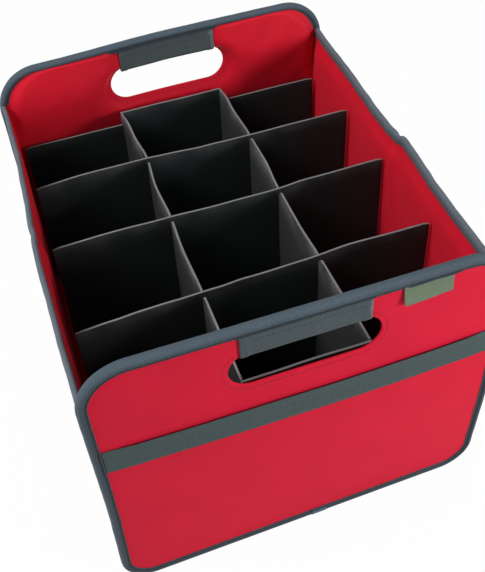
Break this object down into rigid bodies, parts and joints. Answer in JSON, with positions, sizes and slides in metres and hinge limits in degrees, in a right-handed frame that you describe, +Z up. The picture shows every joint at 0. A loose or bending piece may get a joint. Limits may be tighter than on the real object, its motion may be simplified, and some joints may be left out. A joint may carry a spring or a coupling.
{
  "type": "car trunk organizer",
  "caption": "Folding red cloth box for a car trunk, with hand holes in its stiff ends, bound edges and a loose black divider that makes cells for bottles.",
  "frame": {"origin": "under the middle of the box, on the surface that it stands on", "axes": "+X to the right of the front end, +Y along the box to the back end, +Z up"},
  "size_m": [0.32, 0.374, 0.275],
  "materials": {
    "red_cloth": "coated plain weave with a soft sheen",
    "red_lining": "coated plain weave with a soft sheen",
    "binding_tape": "slate blue-grey twill tape",
    "grey_webbing": "fine dark green-grey weave",
    "label_cloth": "fine woven label, bare",
    "board": "plain stiffening sheet, hidden",
    "divider_board": "stiff board covered in black cloth"
  },
  "bodies": {
    "root": {"front_outer_cloth": "red_cloth", "front_board": "board", "front_lining": "red_lining", "front_binding": "binding_tape", "front_grip_wrap": "grey_webbing", "front_elastic_band": "grey_webbing", "front_label": "label_cloth", "back_outer_cloth": "red_cloth", "back_board": "board", "back_lining": "red_lining", "back_binding": "binding_tape", "back_grip_wrap": "grey_webbing", "body_outer_cloth": "red_cloth", "body_lining": "red_lining", "left_board_front": "board", "left_board_rear": "board", "right_board_front": "board", "right_board_rear": "board", "base_board_front": "board", "base_board_rear": "board", "left_top_binding": "binding_tape", "right_top_binding": "binding_tape", "divider_cross_1": "divider_board", "divider_cross_2": "divider_board", "divider_cross_3": "divider_board", "divider_cross_4": "divider_board", "divider_cross_5": "divider_board", "divider_long_left": "divider_board", "divider_long_right": "divider_board"}
  },
  "joints": []
}
